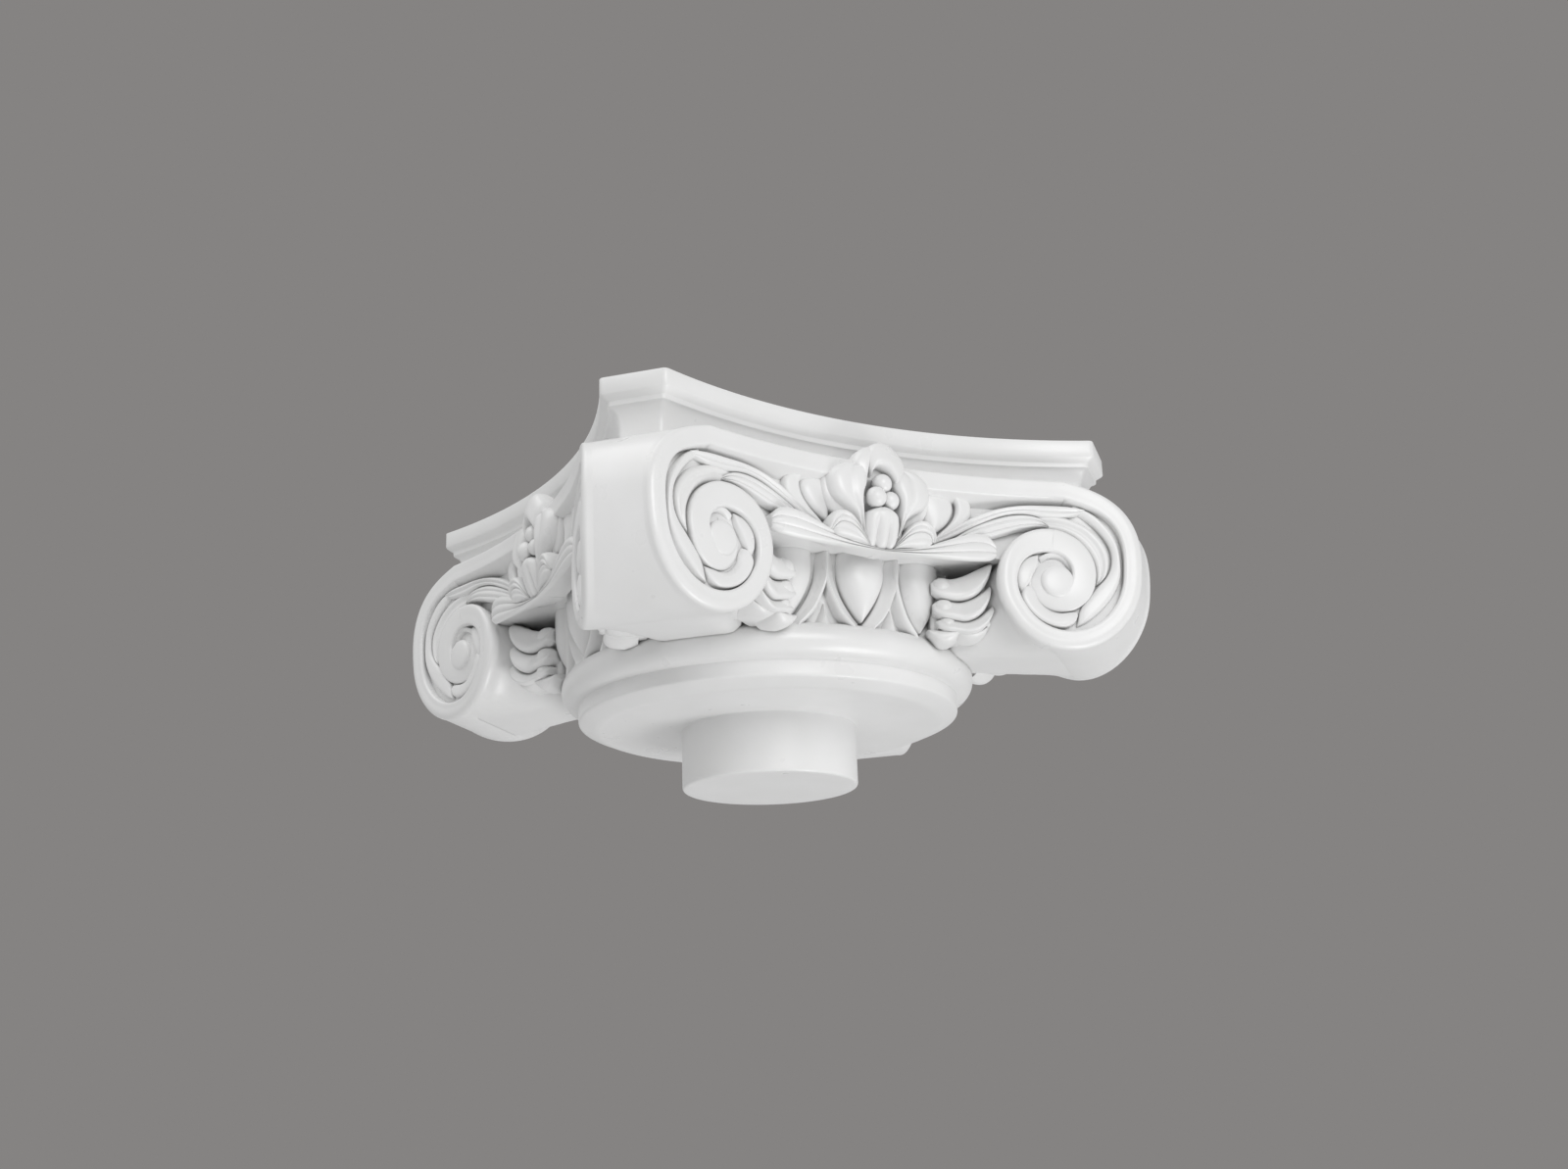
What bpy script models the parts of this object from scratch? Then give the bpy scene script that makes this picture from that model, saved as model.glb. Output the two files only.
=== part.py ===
# Ionic column capital with four corner volutes, moulded in one with its round spigot.
#
# Frame: metres, +Z up, origin at the centre of the spigot's end. The four faces look along
# -Y, +X, +Y and -X, and the corners lie on the diagonals. The carving of one face, looking
# along -Y, is modelled once and turned round the axis for the other three. It is laid out on
# the flat as (along, height, proud) and wrapped onto the hollow face, or laid out as
# (angle, height, radius) round the neck.

from math import asin, atan2, cos, hypot, log, pi, radians, sin, sqrt

import bmesh
import bpy
from mathutils import Matrix, Vector

# Spigot, seat and neck
SPIGOT_RADIUS = 0.0460
SPIGOT_HEIGHT = 0.0315
SPIGOT_ROUNDING = 0.0015
SEAT_RADIUS = 0.0917
SEAT_EDGE_RISE = 0.0043
NECK_RADIUS = 0.1000
NECK_BAND_HEIGHT = 0.0078
TORUS_BULGE = 0.0089
TORUS_HEIGHT = 0.0180
TORUS_STEPS = 5
TURNED_STEPS = 44

# Echinus, the round cushion over the torus that carries the eggs
ECHINUS_RADIUS_LOW = 0.0985
ECHINUS_RADIUS_HIGH = 0.1050
ECHINUS_SIDES = 64

# Abacus, the top plate with hollow sides and cut corners
ABACUS_TOP = 0.1614
FASCIA_HEIGHT = 0.0080
FASCIA_EDGE = 0.0008
ABACUS_MID = 0.1173
ABACUS_CORNER = 0.1848
ABACUS_CORNER_WIDTH = 0.0332
ABACUS_SIDE_STEPS = 10
SOFFIT_INSET = 0.0036
SOFFIT_DROP = 0.0030
FILLET_DROP = 0.0020
CAVETTO_INSET = 0.0050
CAVETTO_STEPS = 2

# Hollow face in plan, and the volute on it
FACE_MID = 0.1290
FACE_RADIUS = 0.3300
EYE_ALONG = 0.0925
EYE_HEIGHT = 0.0840
EYE_RADIUS = 0.0098
EYE_PROUD = 0.0010
EYE_SIDES = 10
VOLUTE_REACH = 0.0435
TURN_SHRINK = 0.45
SHOULDER_FULLNESS = 0.08
VOLUTE_TURNS = 1.45
STEPS_PER_TURN = 16
BAND_WIDTH = 0.0100
BAND_WIDTH_INNER = 0.0085
BAND_STEPS = 4
CHANNEL_DEPTH = 0.0048
FROND_RUNS = ((-50, 88, 0.0130), (-88, 20, 0.0165), (215, 100, 0.0135))
FROND_HALF_WIDTH = 0.0034
FROND_STEPS = 6

# Body between and behind the corner rolls
DRUM_BOTTOM = 0.0930
DRUM_CORNER = 0.1560
DRUM_RECESS = 0.0090
ROLL_STRAIGHT = 0.0420
SWEEP_INNER = 0.1010
SWEEP_HEIGHT = 0.0560
SWEEP_WIDTH = 0.0340
SWEEP_CURVE = 1.5
PLAN_STEPS = 16
ENVELOPE_ROOM = 1.5

# Eggs and shells round the echinus
EGG_PITCH = radians(21)
EGG_HALF_WIDTH = 0.0140
EGG_TOP = 0.0990
EGG_TIP = 0.0610
EGG_PROUD = 0.0120
EGG_LEAN = 0.0040
SHELL_WIDTH = 0.0062
SHELL_PROUD = 0.0095
EGG_LEVELS = 4
EGG_SIDES = 5
SHELL_LEVELS = 5

# Palmette between the eggs and the volute
PALMETTE_WALL = 0.0600
PALMETTE_ROOT = 0.0930
PALMETTE_TIP = 0.1290
FINGERS = 4
FINGER_TOP = 0.0900
FINGER_PITCH = 0.0092
FINGER_HALF_WIDTH = 0.0056
FINGER_PROUD = 0.0070
FINGER_SAG = 0.0035
FINGER_LIFT = 0.0015
LOW_FINGER_SHORTER = 0.0060

# Flower at the middle of the face
FLOWER_HEIGHT = 0.1180
PETAL_REACH = 0.0285
PETAL_HALF_WIDTH = 0.0132
PETAL_PROUD = 0.0050
PETAL_ANGLES = (90, 20, 160, -32, 212)
CALYX_BOTTOM = 0.0920
CALYX_TOP = 0.1130
CALYX_HALF_WIDTH = 0.0092
CALYX_PROUD = 0.0095
SEED_RADIUS = 0.0050
LEAF_CREST = 0.0010

# Surface of the carved body: cell size, and the share of its triangles that is kept
CELL = 0.0012
KEPT_SHARE = 0.0130

# Material
FOAM_WHITE = (0.86, 0.86, 0.86, 1.0)
FOAM_ROUGHNESS = 0.35

FACES = 4
OVERLAP = 0.0040
MERGE = 0.00005

NECK_BOTTOM = SPIGOT_HEIGHT + SEAT_EDGE_RISE
TORUS_BOTTOM = NECK_BOTTOM + NECK_BAND_HEIGHT
TORUS_TOP = TORUS_BOTTOM + TORUS_HEIGHT


def clear_scene():
    for old in list(bpy.data.objects):
        bpy.data.objects.remove(old, do_unlink=True)


def new_collection(name):
    made = bpy.data.collections.new(name)
    bpy.context.scene.collection.children.link(made)
    return made


def white_material():
    made = bpy.data.materials.new("white moulded foam")
    made.use_nodes = True
    shader = made.node_tree.nodes["Principled BSDF"]
    shader.inputs["Base Color"].default_value = FOAM_WHITE
    shader.inputs["Roughness"].default_value = FOAM_ROUGHNESS
    shader.inputs["Metallic"].default_value = 0.0
    return made


def mesh_from(work, name):
    mesh = bpy.data.meshes.new(name)
    work.to_mesh(mesh)
    work.free()
    return mesh


def loft_mesh(rings, name):
    """Skins closed rings of equal length and caps both ends."""
    work = bmesh.new()
    laid = [[work.verts.new(point) for point in ring] for ring in rings]
    count = len(laid[0])
    for low, high in zip(laid, laid[1:]):
        for i in range(count):
            j = (i + 1) % count
            work.faces.new((low[i], low[j], high[j], high[i]))
    work.faces.new(list(reversed(laid[0])))
    work.faces.new(laid[-1])
    if work.calc_volume(signed=True) < 0:
        bmesh.ops.reverse_faces(work, faces=work.faces)
    return mesh_from(work, name)


# Wrapping and paths


def on_face(along, height, proud):
    """A place on the hollow face that looks along -Y."""
    angle = along / FACE_RADIUS
    reach = FACE_RADIUS - proud
    return Vector((reach * sin(angle), reach * cos(angle) - FACE_MID - FACE_RADIUS, height))


def on_neck(angle, height, radius):
    """A place round the axis, angle 0 at the middle of the face that looks along -Y."""
    return Vector((radius * sin(angle), -radius * cos(angle), height))


def on_palmette_wall(outward, height, proud):
    """A place on the wall that closes the gap between the echinus and the roll."""
    return Vector((PALMETTE_WALL - proud, -outward, height))


def mirrored(rings):
    return [[Vector((-point.x, point.y, point.z)) for point in ring] for ring in rings]


def bezier(points, share):
    """A place on the curve whose control points are given, at a share of its way."""
    while len(points) > 1:
        points = [(a[0] + (b[0] - a[0]) * share, a[1] + (b[1] - a[1]) * share)
                  for a, b in zip(points, points[1:])]
    return points[0]


def blade(place, controls, half_width, crest, floor, steps=5, root=0.35):
    """A ridged leaf along a curve in the flat: full in the middle, narrow at the root, pointed."""
    rings = []
    for i in range(steps + 1):
        share = i / steps
        x, y = bezier(controls, share)
        ahead, behind = bezier(controls, min(1, share + 0.02)), bezier(controls, max(0, share - 0.02))
        run = hypot(ahead[0] - behind[0], ahead[1] - behind[1])
        side = ((behind[1] - ahead[1]) / run, (ahead[0] - behind[0]) / run)
        width = half_width * max(0.12, root * (1 - share) ** 2 + sin(pi * share ** 0.8) ** 0.7)
        rings.append([place(x + side[0] * width, y + side[1] * width, floor + (crest - floor) * 0.6),
                      place(x, y, crest),
                      place(x - side[0] * width, y - side[1] * width, floor + (crest - floor) * 0.6),
                      place(x, y, floor - OVERLAP)])
    return rings


# Volute

SPIRAL_PITCH = -log(TURN_SHRINK) / (2 * pi)
TOP_TURN = -pi / 2 + atan2(SPIRAL_PITCH, 1)
BOTTOM_TURN = TOP_TURN + pi


def spiral(turn):
    """Distance from the eye to the band's outer edge. turn is clockwise from the outermost side."""
    fullness = SHOULDER_FULLNESS * sin(pi * turn / TOP_TURN) ** 2 if turn < 0 else 0.0
    return VOLUTE_REACH * TURN_SHRINK ** (turn / (2 * pi)) * (1 + fullness)


def spiral_place(turn, inward=0.0):
    distance = spiral(turn) - inward
    return EYE_ALONG + distance * cos(turn), EYE_HEIGHT - distance * sin(turn)


TOP_ALONG, BAND_TOP = spiral_place(TOP_TURN)


def band_section(outer, inner, floor):
    """Section of the band between its outer and inner edges, which are given in the flat."""
    return [on_face(*outer, floor), on_face(*outer, 0), on_face(*inner, 0), on_face(*inner, floor)]


def volute_band():
    """The band from the middle of the face, along the top and round into the volute."""
    rings = []
    for i in range(BAND_STEPS):
        along = -OVERLAP + (TOP_ALONG + OVERLAP) * i / BAND_STEPS
        rings.append(band_section((along, BAND_TOP), (along, BAND_TOP - BAND_WIDTH),
                                  -DRUM_RECESS - OVERLAP))
    last = VOLUTE_TURNS * 2 * pi
    steps = round((last - TOP_TURN) / (2 * pi) * STEPS_PER_TURN)
    for i in range(steps + 1):
        turn = TOP_TURN + (last - TOP_TURN) * i / steps
        width = BAND_WIDTH + (BAND_WIDTH_INNER - BAND_WIDTH) * i / steps
        rings.append(band_section(spiral_place(turn), spiral_place(turn, width),
                                  -CHANNEL_DEPTH - OVERLAP))
    return rings


def volute_eye():
    """The button at the centre of the volute."""
    rings = []
    for share, proud in ((1.0, -CHANNEL_DEPTH - OVERLAP), (1.0, -EYE_PROUD), (0.7, EYE_PROUD)):
        rings.append([on_face(EYE_ALONG + EYE_RADIUS * share * cos(2 * pi * i / EYE_SIDES),
                              EYE_HEIGHT + EYE_RADIUS * share * sin(2 * pi * i / EYE_SIDES), proud)
                      for i in range(EYE_SIDES)])
    return rings


def volute_fronds():
    """Acanthus fronds that lie in the volute's channel."""
    fronds = []
    for start, end, inset in FROND_RUNS:
        rings = []
        for i in range(FROND_STEPS + 1):
            share = i / FROND_STEPS
            turn = radians(start + (end - start) * share)
            width = FROND_HALF_WIDTH * max(0.15, sin(pi * share ** 0.8))
            edges = [spiral_place(turn, inset + side * width) for side in (-1, 0, 1)]
            rings.append([on_face(*edges[0], -CHANNEL_DEPTH * 0.7), on_face(*edges[1], -LEAF_CREST),
                          on_face(*edges[2], -CHANNEL_DEPTH * 0.7),
                          on_face(*edges[1], -CHANNEL_DEPTH - OVERLAP)])
        fronds.append(rings)
    return fronds


# Corner roll


def diagonal_reach(along):
    """Distance from the axis, along the corner's diagonal, of a place on the face."""
    place = on_face(along, 0, 0)
    return (place.x - place.y) / sqrt(2)


def roll_profile(swept):
    """Outline of the corner roll, as (distance along the diagonal, height).

    At the faces it is the volute's own outline. In the middle of the corner the underside
    is swept back from the volute's lowest point to the echinus instead.
    """
    steps = round(0.75 * STEPS_PER_TURN)
    low_along, low_height = spiral_place(BOTTOM_TURN)
    low_reach = diagonal_reach(low_along)
    points = []
    for i in range(steps + 1):
        turn = TOP_TURN + (pi - TOP_TURN) * i / steps
        along, height = spiral_place(turn)
        reach = diagonal_reach(along)
        if swept and turn > BOTTOM_TURN:
            share = (turn - BOTTOM_TURN) / (pi - BOTTOM_TURN)
            reach = low_reach + (SWEEP_INNER - low_reach) * share
            height = low_height + (SWEEP_HEIGHT - low_height) * share ** SWEEP_CURVE
        points.append((reach, height))
    points.append((points[-1][0], BAND_TOP - BAND_WIDTH / 2))
    return points


def across_corner(reach, across, height):
    """A place given along and across the diagonal between the faces on -Y and +X."""
    return Vector(((reach + across) / sqrt(2), (across - reach) / sqrt(2), height))


def corner_roll():
    """The block between two neighbouring volutes, straight across the corner."""
    sections = ((ABACUS_CORNER, False), (ROLL_STRAIGHT, False), (SWEEP_WIDTH / 2, True))
    sections = [(-across, swept) for across, swept in sections] + list(reversed(sections))
    rings = [[across_corner(reach, across, height) for reach, height in roll_profile(swept)]
             for across, swept in sections]
    return loft_mesh(rings, "corner roll")


# Plans with four hollow sides


def hollow_plan(mid, radius, corner, steps, height):
    """Outline with four hollow sides and four cut corners, anticlockwise from the -Y side."""
    centre = mid + radius
    reach = pi / 4 + asin((corner * sqrt(2) - centre) / (radius * sqrt(2)))
    ring = []
    for quarter in range(FACES):
        turn = quarter * pi / 2
        for i in range(steps + 1):
            angle = reach * (2 * i / steps - 1)
            x, y = radius * sin(angle), radius * cos(angle) - centre
            ring.append(Vector((x * cos(turn) - y * sin(turn), x * sin(turn) + y * cos(turn), height)))
    return ring


def face_envelope():
    """Everything behind the floor of the volutes' channel, with room past the corners."""
    rings = [hollow_plan(FACE_MID - CHANNEL_DEPTH, FACE_RADIUS + CHANNEL_DEPTH,
                         ABACUS_CORNER * ENVELOPE_ROOM, PLAN_STEPS, height)
             for height in (0.0, ABACUS_TOP)]
    return loft_mesh(rings, "face envelope")


def drum():
    """The body between the rolls, behind the flowers and under the abacus."""
    rings = [hollow_plan(FACE_MID - DRUM_RECESS, FACE_RADIUS + DRUM_RECESS, DRUM_CORNER,
                         PLAN_STEPS, height) for height in (DRUM_BOTTOM, BAND_TOP)]
    return loft_mesh(rings, "drum")


def echinus():
    """The round body under the eggs, from inside the torus up into the drum."""
    rings = []
    for radius, height in ((ECHINUS_RADIUS_LOW, TORUS_TOP - OVERLAP),
                           (ECHINUS_RADIUS_LOW, TORUS_TOP), (ECHINUS_RADIUS_HIGH, DRUM_BOTTOM + OVERLAP)):
        rings.append([on_neck(2 * pi * i / ECHINUS_SIDES, height, radius)
                      for i in range(ECHINUS_SIDES)])
    return loft_mesh(rings, "echinus")


def abacus():
    """Fascia, soffit, fillet and cavetto, each an outline stepped in from the one above."""
    half = ABACUS_CORNER_WIDTH / 2
    arris_x = (ABACUS_CORNER - half) / sqrt(2)
    rise = (ABACUS_CORNER + half) / sqrt(2) - ABACUS_MID
    radius = (arris_x ** 2 + rise ** 2) / (2 * rise)
    levels = [(FASCIA_EDGE, 0.0), (0.0, FASCIA_EDGE), (0.0, FASCIA_HEIGHT - FASCIA_EDGE),
              (FASCIA_EDGE, FASCIA_HEIGHT), (SOFFIT_INSET, FASCIA_HEIGHT + SOFFIT_DROP),
              (SOFFIT_INSET, FASCIA_HEIGHT + SOFFIT_DROP + FILLET_DROP)]
    inset, drop = levels[-1]
    cavetto_drop = ABACUS_TOP - BAND_TOP - drop + OVERLAP
    for i in range(1, CAVETTO_STEPS + 1):
        angle = pi / 2 * i / CAVETTO_STEPS
        levels.append((inset + CAVETTO_INSET * sin(angle), drop + cavetto_drop * (1 - cos(angle))))
    rings = [hollow_plan(ABACUS_MID - inset, radius + inset, ABACUS_CORNER - inset,
                         ABACUS_SIDE_STEPS, ABACUS_TOP - drop) for inset, drop in levels]
    return loft_mesh(rings, "abacus")


# Turned core


def turned_profile():
    """Half section of the spigot, neck and torus, from the top down."""
    points = [(0.0, TORUS_TOP)]
    for i in range(TORUS_STEPS + 1):
        angle = pi / 2 - pi * i / TORUS_STEPS
        points.append((NECK_RADIUS + TORUS_BULGE * cos(angle),
                       TORUS_BOTTOM + TORUS_HEIGHT / 2 * (1 + sin(angle))))
    points += [(NECK_RADIUS, NECK_BOTTOM), (SEAT_RADIUS, SPIGOT_HEIGHT),
               (SPIGOT_RADIUS, SPIGOT_HEIGHT), (SPIGOT_RADIUS, SPIGOT_ROUNDING),
               (SPIGOT_RADIUS - SPIGOT_ROUNDING, 0.0), (0.0, 0.0)]
    return points


def turned_core(collection, material):
    """The round parts as one turned body, which the rest is joined to."""
    work = bmesh.new()
    line = [work.verts.new((radius, 0.0, height)) for radius, height in turned_profile()]
    for a, b in zip(line, line[1:]):
        work.edges.new((a, b))
    mesh = mesh_from(work, "capital")
    mesh.materials.append(material)
    core = bpy.data.objects.new("capital", mesh)
    collection.objects.link(core)
    turning = core.modifiers.new("turned", "SCREW")
    turning.steps = TURNED_STEPS
    turning.render_steps = TURNED_STEPS
    turning.use_merge_vertices = True
    turning.merge_threshold = MERGE
    return core


# Eggs


def egg_fullness(share):
    """How wide and proud an egg is, as a share of its most, at a share of its height."""
    return sin(pi / 2 * min(1.0, share / 0.72)) ** 0.75


def egg(centre):
    """A pointed egg standing on its tip, cut off above where the leaves cover it."""
    rings = []
    for i in range(EGG_LEVELS + 1):
        share = 0.05 + 0.95 * i / EGG_LEVELS
        full = egg_fullness(share)
        half = EGG_HALF_WIDTH * full / ECHINUS_RADIUS_LOW
        height = EGG_TIP + (EGG_TOP - EGG_TIP) * share
        low = ECHINUS_RADIUS_LOW + EGG_LEAN * share
        ring = [on_neck(centre + half * cos(pi * k / EGG_SIDES), height,
                        low + EGG_PROUD * full * sin(pi * k / EGG_SIDES))
                for k in range(EGG_SIDES + 1)]
        ring.append(on_neck(centre, height, low - OVERLAP))
        rings.append(ring)
    return rings


def shell(centre, side):
    """The raised band round one side of an egg, from its top down to below the tip."""
    rings = []
    for i in range(SHELL_LEVELS + 1):
        share = 1 - i / SHELL_LEVELS
        inner = EGG_HALF_WIDTH * egg_fullness(share)
        outer = inner + SHELL_WIDTH
        height = EGG_TIP + (EGG_TOP - EGG_TIP) * share
        low = ECHINUS_RADIUS_LOW + EGG_LEAN * share
        proud = SHELL_PROUD * (0.5 + 0.5 * share)
        drop = SHELL_WIDTH * (1 - share)
        spots = ((inner, low - OVERLAP, 0), (inner, low + proud * 0.8, 0),
                 ((inner + outer) / 2, low + proud, drop / 2), (outer, low - OVERLAP, drop))
        rings.append([on_neck(centre + side * across / ECHINUS_RADIUS_LOW, height - down, reach)
                      for across, reach, down in spots])
    return rings


# Leaves and flower


def palmette():
    """Fingers that fan from a root on the echinus to the volute's inner side."""
    fingers = []
    for i in range(FINGERS):
        height = FINGER_TOP - FINGER_PITCH * i
        lift = FINGER_LIFT * (FINGERS - 1 - i)
        reach = PALMETTE_TIP - LOW_FINGER_SHORTER * max(0, i - 2)
        controls = ((PALMETTE_ROOT, height - lift),
                    ((PALMETTE_ROOT + reach) / 2, height - lift - 2 * FINGER_SAG), (reach, height + lift))
        fingers.append(blade(on_palmette_wall, controls, FINGER_HALF_WIDTH, FINGER_PROUD, 0.0,
                             steps=4, root=0.9))
    return fingers


def long_leaves():
    """Leaves that run from the flower's base out to the volute."""
    back = -DRUM_RECESS
    return [blade(on_face, ((0.028, 0.094), (0.045, 0.119), (0.075, 0.119), (0.102, 0.120)),
                  0.0050, -LEAF_CREST, back, 6, 0.5),
            blade(on_face, ((0.040, 0.097), (0.055, 0.110), (0.072, 0.109), (0.088, 0.112)),
                  0.0042, -LEAF_CREST * 2, back, 5, 0.5),
            blade(on_face, ((0.0, 0.090), (0.020, 0.090), (0.035, 0.095), (0.057, 0.094)),
                  0.0076, LEAF_CREST, back, 6, 0.9),
            blade(on_face, ((0.018, 0.098), (0.030, 0.100), (0.044, 0.106), (0.034, 0.121)),
                  0.0085, 0.0, back, 5, 0.5)]


def petal(angle):
    """A broad petal with a hollow down its middle, bent back at its end."""
    rings = []
    for share, width, proud in ((0.15, 0.45, -0.2), (0.5, 0.95, 0.7), (0.8, 1.0, 1.0), (1.0, 0.55, 0.6)):
        out = PETAL_REACH * share
        half = PETAL_HALF_WIDTH * width
        ring = []
        for across, rise in ((-1, -0.45), (-0.6, 0), (0, -0.25), (0.6, 0), (1, -0.45)):
            along = out * cos(angle) - across * half * sin(angle)
            height = FLOWER_HEIGHT + out * sin(angle) + across * half * cos(angle)
            ring.append(on_face(along, height, PETAL_PROUD * (proud + rise)))
        ring.append(on_face(out * 0.9 * cos(angle), FLOWER_HEIGHT + out * 0.9 * sin(angle),
                            -DRUM_RECESS - OVERLAP))
        rings.append(ring)
    return rings


def calyx():
    """The fluted cup at the flower's foot, leaning out towards its top."""
    rings = []
    for share, full in ((0.0, 0.35), (0.4, 0.9), (0.8, 1.0), (1.0, 0.6)):
        height = CALYX_BOTTOM + (CALYX_TOP - CALYX_BOTTOM) * share
        proud = -DRUM_RECESS * 0.6 + (CALYX_PROUD + DRUM_RECESS * 0.6) * share ** 0.7
        half = CALYX_HALF_WIDTH * full
        ring = [on_face(half * cos(pi * k / 4), height, proud - half * (1 - sin(pi * k / 4)))
                for k in range(5)]
        ring.append(on_face(0, height, -DRUM_RECESS - OVERLAP))
        rings.append(ring)
    return rings


def seed(along, height, proud, radius):
    work = bmesh.new()
    bmesh.ops.create_icosphere(work, subdivisions=2, radius=radius,
                               matrix=Matrix.Translation(on_face(along, height, proud)))
    return mesh_from(work, "seed")


def face_carving():
    """Every carved piece of the face that looks along -Y, each a closed mesh of its own."""
    halves = [volute_band(), volute_eye()] + volute_fronds() + palmette() + long_leaves()
    lofts = halves + [mirrored(rings) for rings in halves]
    for step in (-1, 0, 1):
        lofts.append(egg(step * EGG_PITCH))
        lofts += [shell(step * EGG_PITCH, side) for side in (-1, 1)]
    lofts += [petal(radians(angle)) for angle in PETAL_ANGLES]
    lofts.append(calyx())
    meshes = [loft_mesh(rings, "carving") for rings in lofts]
    top = CALYX_TOP + SEED_RADIUS * 0.6
    meshes += [seed(-SEED_RADIUS * 0.75, top, PETAL_PROUD, SEED_RADIUS),
               seed(SEED_RADIUS * 0.85, top, PETAL_PROUD, SEED_RADIUS * 0.85),
               seed(0, top + SEED_RADIUS * 1.6, PETAL_PROUD, SEED_RADIUS)]
    return meshes


# Assembly


def add_guide(collection, mesh, name):
    made = bpy.data.objects.new(name, mesh)
    made.hide_render = True
    made.display_type = "WIRE"
    collection.objects.link(made)
    return made


def add_boolean(target, name, operation, operand):
    join = target.modifiers.new(name, "BOOLEAN")
    join.operation = operation
    join.solver = "EXACT"
    join.object = operand


def trimmed_roll(cutters):
    """The corner roll cut to the hollow faces on both sides, as a mesh."""
    roll = add_guide(cutters, corner_roll(), "corner roll")
    add_boolean(roll, "hollow faces", "INTERSECT", add_guide(cutters, face_envelope(), "face envelope"))
    return bpy.data.meshes.new_from_object(roll.evaluated_get(bpy.context.evaluated_depsgraph_get()))


def carved_body(cutters):
    """Rolls, drum, echinus and carving grown together, as a cast makes them one skin."""
    work = bmesh.new()
    quarter_turn = Matrix.Rotation(2 * pi / FACES, 4, "Z")
    for mesh in [trimmed_roll(cutters)] + face_carving():
        for _ in range(FACES):
            mesh.transform(quarter_turn)
            work.from_mesh(mesh)
    work.from_mesh(drum())
    work.from_mesh(echinus())
    body = add_guide(cutters, mesh_from(work, "carved body"), "carved body")
    grown = body.modifiers.new("one skin", "REMESH")
    grown.mode = "VOXEL"
    grown.voxel_size = CELL
    fewer = body.modifiers.new("fewer faces", "DECIMATE")
    fewer.ratio = KEPT_SHARE
    return body


def main():
    clear_scene()
    parts = new_collection("column capital")
    cutters = new_collection("pieces joined to the capital")
    core = turned_core(parts, white_material())
    add_boolean(core, "carved body", "UNION", carved_body(cutters))
    add_boolean(core, "abacus", "UNION", add_guide(cutters, abacus(), "abacus"))


main()
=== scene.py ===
# %% [markdown]
# # An Ionic capital, carved on all four faces
#
# The real object is a column capital cast in one piece from rigid white foam: a round spigot
# and neck below, a ring of eggs and leaves above, four volute corners, and a hollow-sided
# abacus on top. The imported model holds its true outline. This lesson dresses it with smooth
# surfaces and the fine carving, then lights it like the studio picture. Every step is a cell.

# %% Load the frame
from math import asin, atan2, cos, hypot, log, pi, radians, sin, sqrt

import bpy
from mathutils import Matrix, Vector


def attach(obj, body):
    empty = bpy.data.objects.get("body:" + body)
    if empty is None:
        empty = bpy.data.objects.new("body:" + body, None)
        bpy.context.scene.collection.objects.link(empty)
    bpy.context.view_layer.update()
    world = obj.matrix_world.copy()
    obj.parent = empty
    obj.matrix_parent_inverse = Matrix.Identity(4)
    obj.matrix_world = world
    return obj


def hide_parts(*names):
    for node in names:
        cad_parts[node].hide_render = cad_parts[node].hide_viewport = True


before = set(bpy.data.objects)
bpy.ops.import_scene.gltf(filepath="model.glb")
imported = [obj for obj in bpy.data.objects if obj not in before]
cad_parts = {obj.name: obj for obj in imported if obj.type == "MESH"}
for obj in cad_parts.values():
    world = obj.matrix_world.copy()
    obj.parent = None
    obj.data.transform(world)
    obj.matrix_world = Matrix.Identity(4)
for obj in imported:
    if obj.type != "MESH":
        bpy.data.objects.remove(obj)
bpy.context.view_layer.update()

# %% [markdown]
# ## Camera
#
# The picture was taken from a little below the capital with a moderate telephoto lens, so the
# camera looks up at it. The numbers below are the place and angles at which the circles of
# the neck and the edges of the abacus fall where the picture has them. The camera comes
# first.

# %% Camera below the capital, looking up
IMAGE_WIDTH = 1600
FOCAL_PIXELS = 1889.4
camera = bpy.data.objects.new("camera", bpy.data.cameras.new("camera"))
bpy.context.scene.collection.objects.link(camera)
camera.data.sensor_width = 36.0
camera.data.lens = FOCAL_PIXELS / IMAGE_WIDTH * camera.data.sensor_width
place = Matrix.Translation((-0.43348, -0.85456, -0.18643))
turn = Matrix.Rotation(radians(-27.5406), 4, "Z")
tilt = Matrix.Rotation(radians(107.294), 4, "X")
roll = Matrix.Rotation(radians(-1.9625), 4, "Z")
camera.matrix_world = place @ turn @ tilt @ roll
bpy.context.scene.camera = camera
print("lens", round(camera.data.lens, 2), "mm")

# %% [markdown]
# ## Studio
#
# The picture has a plain mid-grey backdrop and very soft light from all sides, which leaves
# only gentle shading and thin dark lines in the carving. A bright world gives that even light.
# The Light Path node shows the grey only where the camera looks past the capital. Three
# large soft lights give it direction: one in front, one low for the underside, and one high
# on the left. Blender's own display transform would turn the white grey, so the plain one is
# used.

# %% World
BACKDROP = (0.235, 0.227, 0.223, 1.0)
SKY = (1.0, 1.0, 1.0, 1.0)
SKY_STRENGTH = 0.50
world = bpy.data.worlds.new("studio")
bpy.context.scene.world = world
world.use_nodes = True
nodes, links = world.node_tree.nodes, world.node_tree.links
nodes.clear()
seen = nodes.new("ShaderNodeBackground")
seen.inputs["Color"].default_value = BACKDROP
sky = nodes.new("ShaderNodeBackground")
sky.inputs["Color"].default_value = SKY
sky.inputs["Strength"].default_value = SKY_STRENGTH
mix = nodes.new("ShaderNodeMixShader")
ray = nodes.new("ShaderNodeLightPath")
out = nodes.new("ShaderNodeOutputWorld")
links.new(ray.outputs["Is Camera Ray"], mix.inputs["Fac"])
links.new(sky.outputs["Background"], mix.inputs[1])
links.new(seen.outputs["Background"], mix.inputs[2])
links.new(mix.outputs["Shader"], out.inputs["Surface"])
bpy.context.scene.view_settings.view_transform = "Standard"
print("world nodes", len(nodes))

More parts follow.
